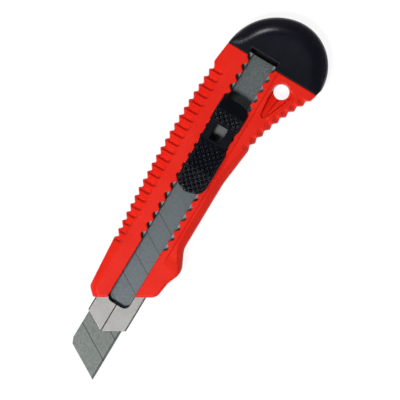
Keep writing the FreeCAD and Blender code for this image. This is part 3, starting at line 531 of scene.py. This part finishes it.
def channel_finish():
    """Folded channel: pale satin nose; the metal inside the handle painted darker as shade, its deep floor
    darker than its lips; painted shade along the folds; a dark seam; and a dark slot rim that is partly its
    cut edge and partly painted shadow of the gap beneath.
    """
    finish = Finish("channel_steel")
    x, y, z = finish.axes()
    off = abs(y - SLIDE_Y)
    speckle = finish.noise(1.3, 4.0, 0.65)
    flecks = finish.noise(1.0, 3.0, 0.6, (2.1, 0.9, 1.0))
    patches = finish.noise(0.22, 3.0)
    mottle = (speckle * 0.45 + patches * 0.55).between(0.0, 1.0)
    pale = finish.mix(mottle, (0.285, 0.28, 0.272), (0.365, 0.358, 0.35))
    # Painted shade: the metal inside the handle is darker than the nose, and its floor darker than its lips,
    # for the shade of the slot and the slide's shadow.
    shaded_inner_metal = finish.mix(flecks.between(0.0, 1.0), (0.072, 0.086, 0.09), (0.165, 0.183, 0.185))
    lit_lip_metal = finish.mix(speckle.between(0.0, 1.0), (0.17, 0.185, 0.19), (0.27, 0.285, 0.29))
    colour = finish.mix(z.ramp(6.0, 7.0), shaded_inner_metal, lit_lip_metal)
    colour = finish.mix(x.ramp(46.0, 50.0), colour, pale)
    roof = z.ramp(6.2, 6.6)
    # The slot rim is partly its own dark cut edge and partly painted shadow of the gap between it and the
    # blade, strongest at the slot's front end.
    rim = slot_rim_distance(x, off).ramp(0.42, 0.22)
    dark = rim * roof * (x.ramp(44.0, 52.0) * 0.8 + 0.2)
    seam = off.ramp(0.27, 0.13) * x.ramp(SLOT_END - 0.1, SLOT_END + 0.2) * roof
    # Painted shade along the rounded folds.
    fold_shade = off.ramp(9.6, 9.85)
    rim_seam_and_fold_shade = dark.over(seam).over(fold_shade)
    finish.wire("Base Color", finish.mix(rim_seam_and_fold_shade, colour, (0.012, 0.017, 0.022)))
    finish.wire("Roughness", speckle.between(0.50, 0.60))
    finish.wire("Metallic", rim_seam_and_fold_shade.ramp(1.0, 0.0) * 0.7 + 0.15)
    finish.bump(flecks, 0.25, 0.05)
    return finish.material


def floor_material():
    """Matt white table that glows a little, so that shadows on it stay faint."""
    finish = Finish("floor")
    finish.constant(Base_Color=(0.12, 0.12, 0.12, 1.0), Roughness=0.9)
    finish.constant(Emission_Color=(1.0, 1.0, 1.0, 1.0), Emission_Strength=0.91)
    finish.constant(Specular_IOR_Level=0.0)
    return finish.material


# ---------------------------------------------------------------- moulded pieces

HANDLE = [SPINE_REAR, CROWN, GRIP_FRONT, SPINE_FRONT, NOSE_SHOULDER, NOSE_TIP, CUT_END, CHIN_FRONT, CHIN_REAR,
          BUMP_FRONT, BUMP_REAR, BUMP_FOOT, WAIST_FRONT, WAIST_REAR, FLARE_END]


def whole_plan():
    """Handle and cap together: the outline without the joint between them or any teeth."""
    return plan_points(HANDLE + [CAP_EDGE, CAP_END])


def toothed_plan():
    """The same outline with the grip teeth along the spine and along the flared edge."""
    rear_centre = arc_points(SPINE_REAR, CROWN, SPINE_REAR[2])[0]
    front_centre = arc_points(CROWN, GRIP_FRONT, CROWN[2])[0]
    shape = TOOTH_CREST, TOOTH_DEEP, TOOTH_LEAD
    spine = saw_points(front_centre, CROWN[2], TOOTH_FIRST, TOOTH_PITCH, FRONT_TEETH, *shape)
    first = TOOTH_FIRST - FRONT_TEETH * TOOTH_PITCH
    spine += saw_points(rear_centre, SPINE_REAR[2], first, TOOTH_PITCH, REAR_TEETH + 1, *shape)[:-1]
    flare_centre = arc_points(WAIST_REAR, FLARE_END, WAIST_REAR[2])[0]
    flare = saw_points(flare_centre, -WAIST_REAR[2], FLARE_FIRST, FLARE_PITCH, FLARE_TEETH + 1, FLARE_CREST,
                       FLARE_DEEP, FLARE_LEAD)[:-1]
    points = [CAP_END[:2]] + arc_points(CAP_END, SPINE_REAR, CAP_END[2])[1][1:] + [SPINE_REAR[:2]]
    points += spine[::-1]
    points += plan_points([GRIP_FRONT, SPINE_FRONT, NOSE_SHOULDER, NOSE_TIP, CUT_END, CHIN_FRONT, CHIN_REAR,
                           BUMP_FRONT, BUMP_REAR, BUMP_FOOT, WAIST_FRONT])
    points += [WAIST_REAR[:2]] + flare
    points += [FLARE_END[:2]] + plan_points([EDGE_REAR, CAP_EDGE, CAP_END])[:-1]
    return points


def capsule_to_edge(grid, x, y, half):
    """Distance to a round-ended groove that runs from a centre towards the spine."""
    across = grid.x - x
    return np.where(grid.y > y, np.hypot(across, grid.y - y), np.abs(across)) - half


def dish_distance(grid):
    """Distance to the tapered dish round the hang hole, and the places across and along it."""
    wide, narrow = DISH[2], DISH_POINT[2]
    base = Vector(DISH[:2])
    along = Vector(DISH_POINT[:2]) - base
    length = along.length
    along.normalize()
    px = grid.x - base.x
    py = grid.y - base.y
    side = px * -along.y + py * along.x
    run = px * along.x + py * along.y
    lean = (wide - narrow) / length
    fall = math.sqrt(1 - lean * lean)
    across = np.abs(side)
    key = -lean * across + fall * run
    middle = fall * across + lean * run - wide
    ends = np.where(key < 0, np.hypot(across, run) - wide, np.hypot(across, run - length) - narrow)
    return np.where((key >= 0) & (key <= fall * length), middle, ends), side, run


def nose_depth(grid):
    """Distance behind the slanting front of the handle's spine side."""
    tip, shoulder = Vector(NOSE_TIP[:2]), Vector(SPINE_FRONT[:2])
    inward = Vector((shoulder.y - tip.y, tip.x - shoulder.x)).normalized()
    return (grid.x - tip.x) * inward.x + (grid.y - tip.y) * inward.y


def cut_pockets(grid, top):
    """The row of round-ended pockets across the spine."""
    number = np.clip(np.round((POCKET_FIRST - grid.x) / POCKET_PITCH), 0, POCKET_COUNT - 1)
    pocket = capsule_to_edge(grid, POCKET_FIRST - number * POCKET_PITCH, POCKET_END_Y, POCKET_HALF)
    return top - POCKET_DEEP * ease(0.5 - pocket / POCKET_WALL)


def cut_dish(grid, top):
    """The dish beside the hang hole: deep on the slot's side, shallow with a low rim on the edge side."""
    dish, side, run = dish_distance(grid)
    edge_side = ease(side / 1.6 + 0.1)
    depth = np.clip(DISH_SHALLOW + (DISH_FALL_FROM - run) * DISH_FALL, DISH_SHALLOW, DISH_DEEP)
    depth = depth * (1.0 - 0.62 * edge_side) * ease(run / 4.2 + 0.8)
    top = top - depth * ease(0.5 - dish / DISH_WALL)
    along = ease(run / 3.0 + 0.7) * ease((15.0 - run) / 3.0)
    rim = np.exp(-(((dish - DISH_RIM_AWAY) / DISH_RIM_HALF) ** 2))
    return top + DISH_RIM * rim * edge_side * along


def cut_flare_scoops(grid, top):
    """The short round-ended bevel on each tooth of the flared edge."""
    centre = arc_points(WAIST_REAR, FLARE_END, WAIST_REAR[2])[0]
    radius = -WAIST_REAR[2]
    turn = np.arctan2(grid.x - centre.x, -(grid.y - centre.y))
    reach = np.hypot(grid.x - centre.x, grid.y - centre.y) - radius
    start = math.asin((FLARE_FIRST - centre.x) / radius)
    run = (start - turn) * radius
    tooth = np.clip(np.round(run / FLARE_PITCH - SCOOP_LAG), 0, FLARE_TEETH - 1)
    across = run - (tooth + SCOOP_LAG) * FLARE_PITCH
    bevel = SCOOP_LONG * np.sqrt(np.maximum(1.0 - (across / SCOOP_HALF) ** 2, 0.0))
    near_edge = ease((reach + 6.0) / 2.0)
    scoop = above_zero((bevel - reach) * SCOOP_SLOPE, 0.6) * near_edge
    return np.minimum(top, THICK - scoop)


def handle_top(grid, plan):
    """Height of the handle's upper face over the plan."""
    top = THICK - above_zero((SPINE_SLOPE_Y - grid.y) * SPINE_SLOPE, 0.35)
    behind_nose = ease((STEP_FRONT - grid.x) / 6.0)
    top = top - STEP_DROP * behind_nose * ease((grid.y - STEP_Y) / 0.45 + 0.5)
    width = np.interp(grid.x, EDGE_BEVEL_X, EDGE_BEVEL_WIDTH).astype(np.float32)
    on_edge_side = ease((grid.y + 3.0) / 4.0)
    top = top - above_zero((width + plan) * EDGE_BEVEL_SLOPE, 0.3) * on_edge_side
    top = top - above_zero((NOSE_BEVEL_WIDTH - nose_depth(grid)) * NOSE_BEVEL_SLOPE, 0.4)
    top = cut_pockets(grid, top)
    top = cut_dish(grid, top)
    return cut_flare_scoops(grid, top)


def notch_half(x):
    """Half width of the toothed slot along its length."""
    phase = np.abs((x - NOTCH_FIRST + NOTCH_PITCH / 2) % NOTCH_PITCH - NOTCH_PITCH / 2)
    notch = np.clip((NOTCH_FOOT - phase) / NOTCH_FLANK, 0.0, 1.0) * NOTCH_DEEP
    return SLOT_HALF + np.where(x < NOTCH_FIRST + NOTCH_PITCH / 2, notch, 0.0)


def cut_slot(grid, body):
    """The channel's cavity, the toothed slot over it and the lower run for the spring's ears."""
    off = np.abs(grid.y - SLIDE_Y)
    wide, tall = CHANNEL_HALF + CAVITY_GAP, CHANNEL_TALL_HALF + CAVITY_GAP
    cavity = np.maximum(raised(off - wide), np.abs(grid.z - CHANNEL_MIDDLE) - tall)
    body = smax(body, -cavity, 0.25)
    half = notch_half(grid.x)
    steep = np.gradient(half[:, 0], grid.step)[:, None]
    slot = (off - half) / np.sqrt(1 + steep**2)
    slot = soften(slot.astype(np.float32), 2)
    body = smax(body, -np.maximum(raised(slot), SLOT_LEDGE - grid.z), 0.5)
    plain_slot = np.maximum(raised(off - SLOT_HALF), SLOT_FLOOR - grid.z)
    body = smax(body, -plain_slot, 0.3)
    ear_run = raised(np.maximum(off - EAR_RUN_HALF, grid.x - EAR_RUN_FRONT))
    ear_run = np.maximum(np.maximum(ear_run, SLOT_FLOOR - grid.z), grid.z - SLOT_LEDGE)
    return np.maximum(body, -ear_run)


def spigot(grid, plain, gap):
    """The spigot that the cap grips, drawn in at its rear to stay inside the cap's falling edge."""
    rear = SPIGOT_END - gap
    block = plan_distance(grid, [
        (rear, SPIGOT_SPINE_END - gap),
        (SPIGOT_ROOT, SPIGOT_SPINE_ROOT - gap),
        (SPIGOT_ROOT, SPIGOT_EDGE_ROOT + gap),
        (rear, SPIGOT_EDGE_END + gap),
    ])
    drawn_in = 1.0 + 4.0 * ease((JOINT_X - grid.x) / CAP_FALL_RUN)
    plan = np.maximum(block, plain + drawn_in - gap)
    return np.maximum(raised(plan), np.abs(grid.z - THICK / 2) - SPIGOT_HALF - gap)


def make_handle():
    """Red handle with its grips, slot, hang hole and forked spigot."""
    grid = Grid(*HANDLE_ROOM)
    plain = plan_distance(grid, whole_plan())
    toothed = soften(plan_distance(grid, toothed_plan()), 3)
    body = smax(raised(toothed), height_distance(grid, handle_top(grid, plain)), 0.9)
    body = smax(body, -grid.z, 1.4)
    body = smax(body, raised(JOINT_X - grid.x), 0.5)

    root_x = -69.0
    body = smin(body, np.maximum(spigot(grid, plain, 0.0), raised(grid.x - root_x)), 0.2)
    fork = np.maximum(np.abs(grid.y - CAP_NOTCH_Y) - CAP_NOTCH_HALF, grid.x - CHANNEL_TAIL + 0.2)
    body = np.maximum(body, -raised(fork))

    body = cut_slot(grid, body)
    hole = raised(np.hypot(grid.x - HANG[0], grid.y - HANG[1]) - HANG_RADIUS)
    body = smax(body, -hole, 0.6)
    return skin("handle_shell", grid, body, 0.012)


def make_cap():
    """Black cap: flat on top, falling to its round edge, with a notch for the channel's tail."""
    grid = Grid(*CAP_ROOM)
    plain = plan_distance(grid, whole_plan())
    away = ease((JOINT_X - grid.x) / CAP_FALL_RUN)
    spine_side = ease((-8.0 - grid.y) / 8.0)
    slope = CAP_FALL_SLOPE * away + (1.0 - away) * (0.1 + 0.24 * spine_side)
    top = THICK - CAP_SINK - slope * above_zero(CAP_FALL_WIDTH + plain, 3.2)
    body = smax(raised(plain), height_distance(grid, soften(top.astype(np.float32), 3)), 1.2)
    body = smax(body, -grid.z, 4.0)
    body = smax(body, raised(grid.x - JOINT_X), 0.05)
    body = smax(body, -spigot(grid, plain, SPIGOT_GAP), 0.2)
    notch = np.maximum(np.abs(grid.y - CAP_NOTCH_Y) - CAP_NOTCH_HALF, JOINT_X - CAP_NOTCH_DEEP - grid.x)
    body = smax(body, -np.maximum(raised(notch), CAP_NOTCH_FLOOR - grid.z), 0.1)
    return skin("cap_shell", grid, body, 0.01)


def slab(plan, grid, low, high):
    """Distance to an upright block over a plan shape."""
    return np.maximum(raised(plan), np.maximum(low - grid.z, grid.z - high))


def plan_box(grid, low_x, high_x, low_y, high_y):
    """Distance to a rectangle in the plan."""
    across = np.abs(grid.y - (low_y + high_y) / 2) - (high_y - low_y) / 2
    along = np.abs(grid.x - (low_x + high_x) / 2) - (high_x - low_x) / 2
    return np.maximum(across, along)


def slide_block(grid, rear, front, half, low, high):
    """An upright block centred on the slide's line."""
    return slab(plan_box(grid, rear, front, SLIDE_Y - half, SLIDE_Y + half), grid, low, high)


def stud_relief(grid, first_x, middle_y, pitch_x, height):
    """Staggered round-topped studs."""
    rows = np.cos(math.tau * (grid.x - first_x) / pitch_x)
    columns = np.cos(math.tau * (grid.y - middle_y) / STUD_PITCH_Y)
    return height * np.clip((rows * columns - 0.04) / 0.96, 0.0, 1.0) ** 0.7


def front_pad(grid):
    """Studded front pad with a blunt pointed nose, creased across its crown."""
    middle, half = FRONT_PAD_Y, FRONT_PAD_HALF
    plan = soften(plan_distance(grid, plan_points([
        (FRONT_PAD_REAR, middle - half, 0.0),
        (-5.8, middle - half, 7.0),
        (-2.7, middle - 5.2, 0.0),
        (FRONT_PAD_TIP, middle - 1.0, 0.0),
        (-1.4, middle + 1.0, 0.0),
        (-2.5, middle + 4.4, 5.0),
        (-6.0, middle + half, 0.0),
        (-23.6, middle + half, 0.0),
        (FRONT_PAD_REAR, middle + 5.9, 0.0),
    ])), 4)
    crease = [FRONT_PAD_REAR, FRONT_PAD_CROWN, FRONT_PAD_TIP]
    top = np.interp(grid.x, crease, [13.4, 15.0, 14.2]).astype(np.float32)
    studs = stud_relief(grid, FRONT_PAD_CROWN, middle, STUD_PITCH_X, 0.72)
    top = soften(top, 1) + studs * ease((-plan - STUD_MARGIN) / STUD_RISE)
    return smax(smax(raised(plan), height_distance(grid, top), 0.7), PAD_FLOOR - grid.z, 0.5)


def rear_pad(grid):
    """Rear pad: studs in front, a smooth fall behind."""
    half = REAR_PAD_HALF
    plan = soften(plan_distance(grid, plan_points([
        (REAR_PAD_FRONT, SLIDE_Y - half, 0.0),
        (REAR_PAD_FRONT, SLIDE_Y + half, 0.0),
        (-44.6, SLIDE_Y + half, 0.0),
        (-48.2, SLIDE_Y + 5.7, 0.0),
        (-49.1, SLIDE_Y + 1.0, 0.0),
        (-48.9, SLIDE_Y - 5.6, 0.0),
        (-47.2, SLIDE_Y - half, 0.0),
    ])), 4)
    crease = [REAR_PAD_REAR, REAR_PAD_CROWN, REAR_PAD_FRONT]
    top = np.interp(grid.x, crease, [12.7, 14.4, 13.9]).astype(np.float32)
    first_stud, last_stud = -37.3, -42.3
    studs = stud_relief(grid, first_stud, SLIDE_Y, STUD_PITCH_Y, 0.65)
    studs = studs * ease((grid.x - last_stud) / 0.4)
    top = soften(top, 1) + studs * ease((-plan - STUD_MARGIN) / STUD_RISE)
    return smax(smax(raised(plan), height_distance(grid, top), 0.7), PAD_FLOOR - grid.z, 0.5)


def make_thumb_slide():
    """Both pads on one deck, with a hollow stem, feet, a window, and a boss and ports for the spring."""
    grid = Grid(*SLIDE_ROOM)
    deck = slab(plan_box(grid, *DECK), grid, PAD_FLOOR, DECK_TOP)
    body = smin(smin(front_pad(grid), rear_pad(grid), 0.3), deck, 0.5)
    body = smin(body, slide_block(grid, *STEM), 0.3)
    body = smin(body, slide_block(grid, *FEET), 0.15)
    body = smax(body, -slide_block(grid, *HOLLOW), 0.2)
    body = smax(body, -slab(plan_box(grid, *WINDOW), grid, 11.0, 17.0), 0.35)
    body = smin(body, slide_block(grid, *BOSS), 0.1)
    body = np.maximum(body, -slide_block(grid, *PORTS))
    return skin("thumb_pad", grid, body, 0.008)


# ---------------------------------------------------------------- sheet metal pieces

def make_channel():
    """The folded channel with rounded folds, a round-cornered slot and a seam in its pointed nose."""
    grid = Grid(*CHANNEL_ROOM)
    off = np.abs(grid.y - SLIDE_Y)
    level = np.abs(grid.z - CHANNEL_MIDDLE)
    body = smax(raised(off - CHANNEL_HALF), level - CHANNEL_TALL_HALF, 0.9)
    inside = smax(raised(off - CHANNEL_HALF + CHANNEL_SHEET), level - CHANNEL_TALL_HALF + CHANNEL_SHEET, 0.4)
    body = np.maximum(body, -inside)
    body = smax(body, raised(CHANNEL_TAIL - grid.x), 0.2)
    point = math.radians(30.0)
    nose = (grid.x - CHANNEL_TIP) * math.cos(point) + off * math.sin(point)
    body = smax(body, raised(nose), 0.2)
    across = off - (SLOT_HALF - SLOT_CORNER)
    ahead = grid.x - (SLOT_END - SLOT_CORNER)
    slot = np.hypot(np.maximum(across, 0), np.maximum(ahead, 0)) + np.minimum(np.maximum(across, ahead), 0)
    body = smax(body, -np.maximum(raised(slot - SLOT_CORNER), CHANNEL_ROOF - grid.z), 0.3)
    seam_half, seam_floor = 0.14, 7.35
    seam = np.maximum(off - seam_half, SLOT_END - 0.4 - grid.x)
    body = smax(body, -np.maximum(raised(seam), seam_floor - grid.z), 0.12)
    return skin("channel_shell", grid, body, 0.01)


def spring_line(grid):
    """Distance to the leaf's middle seen from the side: level, a rise, then level at the ears."""
    path = [(-46.0, SPRING_SEAT), (RISE_REAR, SPRING_SEAT), (RISE_FRONT, EAR_LEVEL), (-14.0, EAR_LEVEL)]
    x = grid.x[:, :1, None]
    line = None
    for (ax, az), (bx, bz) in zip(path, path[1:]):
        share = ((x - ax) * (bx - ax) + (grid.z - az) * (bz - az)) / ((bx - ax) ** 2 + (bz - az) ** 2)
        share = np.clip(share, 0, 1)
        away = np.hypot(x - ax - share * (bx - ax), grid.z - az - share * (bz - az))
        line = away if line is None else smin(line, away, 0.5)
    return line


def make_lock_spring():
    """Riveted leaf that rises under the thumb slide, with an ear each side that sits in a notch."""
    grid = Grid(*SPRING_ROOM)
    half_thick = 0.2
    leaf = plan_box(grid, SPRING_REAR, SPRING_FRONT, SLIDE_Y - SPRING_HALF, SLIDE_Y + SPRING_HALF)
    body = smax(raised(leaf), spring_line(grid) - half_thick, 0.15)
    off = np.abs(grid.y - SLIDE_Y)
    ear_half = np.interp(off, [2.7, EAR_REACH], [1.6, 0.5])
    ear = np.maximum(np.abs(grid.x - EAR_X) - ear_half, off - EAR_REACH)
    body = np.minimum(body, smax(raised(ear), np.abs(grid.z - EAR_LEVEL) - half_thick, 0.15))
    hole = np.hypot(grid.x - RIVET_X, grid.y - SLIDE_Y) - RIVET_HOLE
    body = np.maximum(body, -raised(hole))
    return skin("lock_leaf", grid, body, 0.005)


# ---------------------------------------------------------------- assembly

def give(piece, material):
    """The one material of a piece."""
    piece.data.materials.clear()
    piece.data.materials.append(material)


def dress(node, material):
    """A better material on a CAD node that keeps its shape."""
    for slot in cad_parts[node].material_slots:
        slot.material = material


red = handle_plastic()
cap_black = black_plastic(
    "cap_black", dark=(0.0026, 0.0026, 0.0072), light=(0.0042, 0.0042, 0.0105), specular=0.46, rough=0.25)
slide_black = black_plastic(
    "slide_black", dark=(0.0016, 0.002, 0.0046), light=(0.003, 0.0036, 0.0075), specular=0.19, rough=0.30)
channel_steel = channel_finish()
spring_steel = steel(
    "spring_steel", dark=(0.105, 0.117, 0.115), light=(0.165, 0.18, 0.177), rough=0.5,
    stretch=(0.2, 2.0, 2.0))
carrier_steel = steel(
    "carrier_steel", dark=(0.30, 0.31, 0.31), light=(0.45, 0.46, 0.46), rough=0.45,
    stretch=(0.3, 1.6, 1.6))

for make, material, body, slot, node in (
    (make_handle, red, "handle", "handle_plastic", "handle_body"),
    (make_cap, cap_black, "cap", "black_plastic", "end_cap"),
    (make_thumb_slide, slide_black, "thumb", "black_plastic", "thumb_slide"),
    (make_channel, channel_steel, "handle", "channel_steel", "blade_channel"),
):
    piece = make()
    give(piece, material)
    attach(piece, body)
    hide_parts(node)

leaf = make_lock_spring()
give(leaf, spring_steel)
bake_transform(leaf)
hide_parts("lock_spring")

dress("snap_off_blade", blade_finish())
for node in ("blade_carrier", "blade_peg", "spring_rivet"):
    dress(node, carrier_steel)


# ---------------------------------------------------------------- floor, light and camera

def make_floor():
    """A plain table just under the handle's back."""
    size, gap = 3.0, 0.0002
    mesh = bpy.data.meshes.new("floor")
    corners = [(-size, -size, 0.0), (size, -size, 0.0), (size, size, 0.0), (-size, size, 0.0)]
    mesh.from_pydata(corners, [], [(0, 1, 2, 3)])
    floor = bpy.data.objects.new("floor", mesh)
    bpy.context.scene.collection.objects.link(floor)
    floor.location.z = -gap
    give(floor, floor_material())


def area_light(name, place, size, power):
    """A round light that faces the knife. Places and sizes are in metres."""
    light = bpy.data.lights.new(name, "AREA")
    light.shape = "DISK"
    light.size = size
    light.energy = power
    lamp = bpy.data.objects.new(name, light)
    lamp.location = place
    lamp.rotation_euler = (-Vector(place)).to_track_quat("-Z", "Y").to_euler()
    bpy.context.scene.collection.objects.link(lamp)


def make_lights():
    """One key light from the blade's end, a weak one from the rear for the cap, and a dim room."""
    world = bpy.data.worlds.new("studio")
    world.use_nodes = True
    background = world.node_tree.nodes["Background"]
    background.inputs["Color"].default_value = (1.0, 1.0, 1.0, 1.0)
    background.inputs["Strength"].default_value = 0.09
    bpy.context.scene.world = world
    area_light("key", place=(0.66, -0.1, 1.16), size=0.3, power=17.3)
    area_light("rear", place=(-0.62, -0.55, 0.85), size=0.25, power=2.1)


def make_camera():
    """Straight above the knife, with its length rising to the upper right of the view."""
    tilt = math.radians(59.0)
    right = Vector((-math.cos(tilt), math.sin(tilt), 0))
    up = Vector((-math.sin(tilt), -math.cos(tilt), 0))
    back = Vector((0, 0, 1))
    height = 1.6
    span = 0.186
    plane = 0.008
    middle = (-0.0012, 0.00326, height)
    data = bpy.data.cameras.new("camera")
    data.sensor_width = 36.0
    data.lens = data.sensor_width * (height - plane) / span
    camera = bpy.data.objects.new("camera", data)
    turn = Matrix((right, up, back)).transposed().to_4x4()
    camera.matrix_world = Matrix.Translation(middle) @ turn
    bpy.context.scene.collection.objects.link(camera)
    bpy.context.scene.camera = camera


make_floor()
make_lights()
make_camera()
bpy.context.scene.view_settings.view_transform = "Standard"
